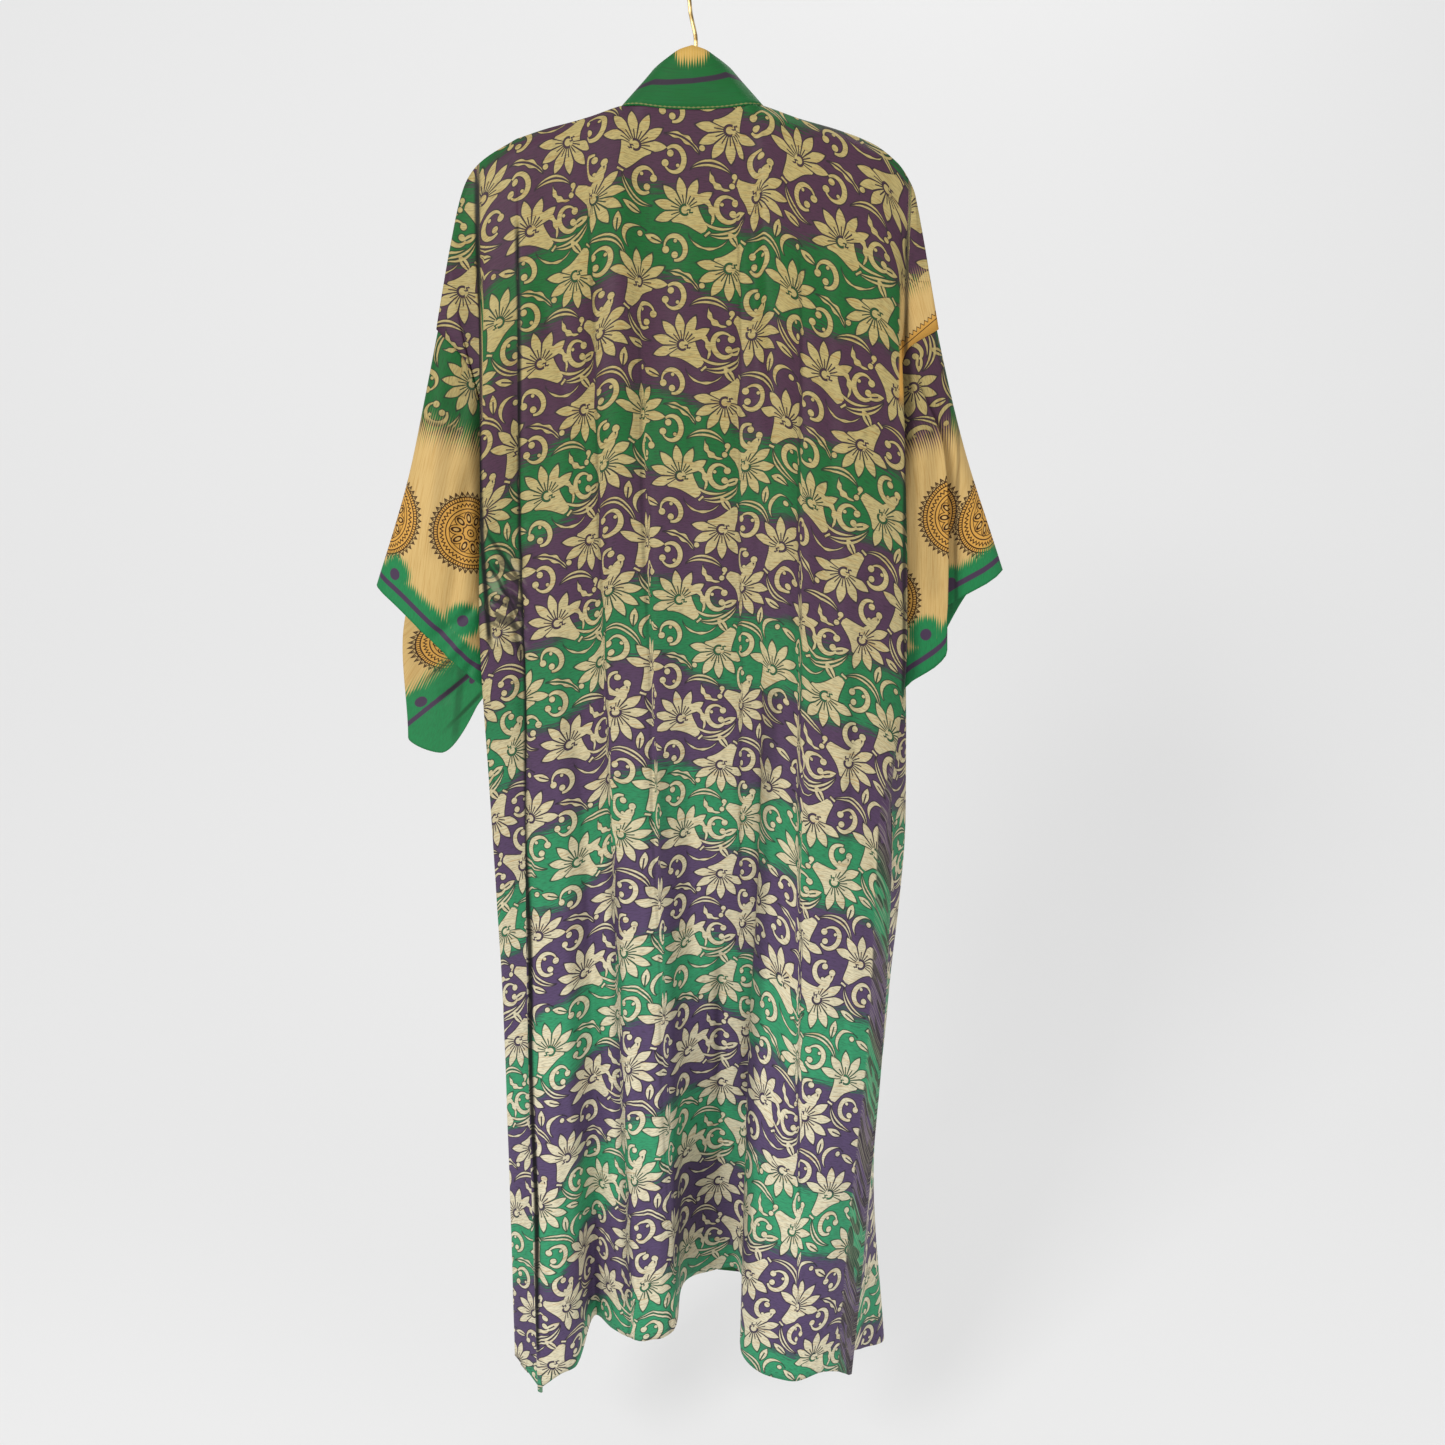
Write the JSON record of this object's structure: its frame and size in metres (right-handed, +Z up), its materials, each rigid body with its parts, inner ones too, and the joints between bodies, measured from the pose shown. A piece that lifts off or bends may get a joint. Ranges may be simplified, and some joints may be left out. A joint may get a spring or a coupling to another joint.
{
  "type": "kimono on a hanger",
  "caption": "Long kimono robe in printed silk with short wide sleeves, hanging open on a wooden hanger with a wire hook.",
  "frame": {"origin": "where a rail holds the hook: the top of the inside of its bowl", "axes": "+Z up, the robe's back faces -Y and its open front +Y, the wearer's left sleeve is at -X"},
  "size_m": [0.6462, 0.2073, 1.5358],
  "materials": {
    "robe_silk": "printed silk with a soft sheen",
    "sleeve_silk": "printed silk with a soft sheen",
    "band_silk": "printed silk with a soft sheen",
    "hanger_wood": "satin varnish",
    "hook_wire": "polished wire"
  },
  "bodies": {
    "root": {"back_panel": "robe_silk", "front_left": "robe_silk", "front_right": "robe_silk", "sleeve_left": "sleeve_silk", "sleeve_right": "sleeve_silk", "neckband": "band_silk", "hanger_arms": "hanger_wood", "hanger_hook": "hook_wire"}
  },
  "joints": []
}
